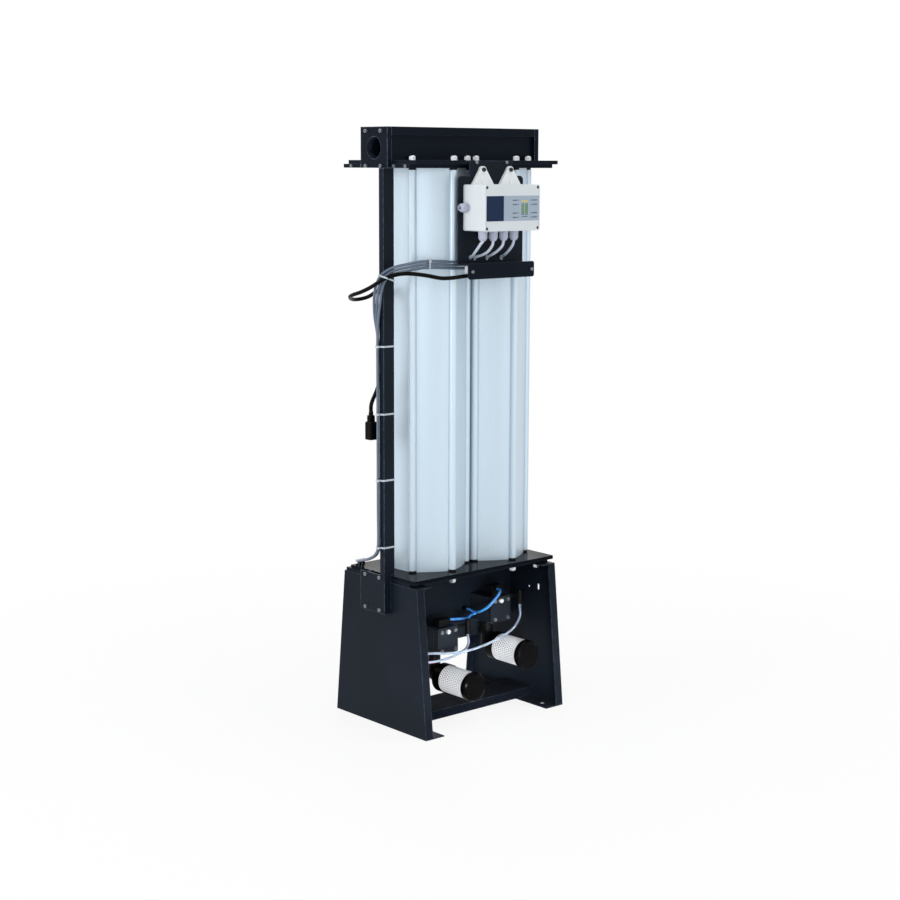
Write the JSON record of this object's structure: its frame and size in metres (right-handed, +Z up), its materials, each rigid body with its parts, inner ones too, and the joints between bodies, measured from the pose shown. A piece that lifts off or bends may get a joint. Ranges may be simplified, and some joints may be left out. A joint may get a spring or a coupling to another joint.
{
  "type": "desiccant air dryer",
  "caption": "Standing desiccant compressed air dryer: ribbed columns between end plates, header on top, controller in front, valves and silencers in a folded base.",
  "frame": {"origin": "centre of the four floor bolt holes, on the floor", "axes": "+Z up, +X along the header towards its plugged end, -Y towards the controller at the front"},
  "size_m": [0.5959, 0.4285, 1.601],
  "materials": {
    "dark_coat": "satin charcoal powder coat",
    "dark_aluminium": "satin charcoal coat over aluminium",
    "column_aluminium": "pale satin coat over aluminium",
    "desiccant": "off white beads",
    "diffuser_steel": "plain",
    "seal_rubber": "matt",
    "zinc_steel": "bright zinc",
    "dark_steel": "blackened",
    "tie_nylon": "natural nylon",
    "box_plastic": "pale grey, fine grain",
    "white_plastic": "white",
    "gland_plastic": "light grey",
    "board": "green lacquer",
    "valve_aluminium": "black anodised",
    "black_plastic": "black",
    "gloss_black": "glossy black",
    "silencer_mesh": "white perforated sleeve",
    "grey_cable": "grey sheath",
    "lead_cable": "pale grey sheath",
    "black_cable": "black sheath",
    "blue_tube": "blue tube",
    "milky_tube": "milky tube"
  },
  "bodies": {
    "root": {"left_panel": "dark_coat", "right_panel": "dark_coat", "cross_tray": "dark_coat", "valve_panel": "dark_coat", "upright": "dark_coat", "bracket": "dark_coat", "tray_cover": "dark_coat", "base_lower_plate": "dark_aluminium", "base_upper_plate": "dark_aluminium", "head_lower_plate": "dark_aluminium", "head_upper_plate": "dark_aluminium", "header_body": "dark_aluminium", "left_cap": "dark_aluminium", "right_cap": "dark_aluminium", "left_column": "column_aluminium", "right_column": "column_aluminium", "left_bed": "desiccant", "right_bed": "desiccant", "diffusers": "diffuser_steel", "column_seals": "seal_rubber", "cap_seals": "seal_rubber", "cable_bush": "seal_rubber", "rib_washers": "seal_rubber", "column_bolts": "zinc_steel", "frame_bolts": "zinc_steel", "header_screws": "zinc_steel", "upright_spacers": "zinc_steel", "upright_screws": "zinc_steel", "bracket_screws": "zinc_steel", "valve_screws": "zinc_steel", "lid_screws": "dark_steel", "ear_screws": "dark_steel", "port_plug": "dark_steel", "cable_ties": "tie_nylon", "box_body": "box_plastic", "box_lid": "box_plastic", "ears": "white_plastic", "connector": "white_plastic", "cover_plugs": "white_plastic", "glands": "gland_plastic", "circuit_board": "board", "manifold": "valve_aluminium", "valve_bodies": "valve_aluminium", "valve_covers": "valve_aluminium", "risers": "valve_aluminium", "pilot_coils": "black_plastic", "exhaust_elbows": "black_plastic", "tube_fittings": "black_plastic", "silencer_collars": "gloss_black", "silencer_caps": "gloss_black", "silencer_sleeves": "silencer_mesh", "control_cable_1": "grey_cable", "control_cable_2": "grey_cable", "control_cable_3": "grey_cable", "supply_lead": "lead_cable", "mains_lead": "black_cable", "mains_plug": "black_cable", "pilot_tubes": "blue_tube", "drain_tubes": "milky_tube"}
  },
  "joints": []
}
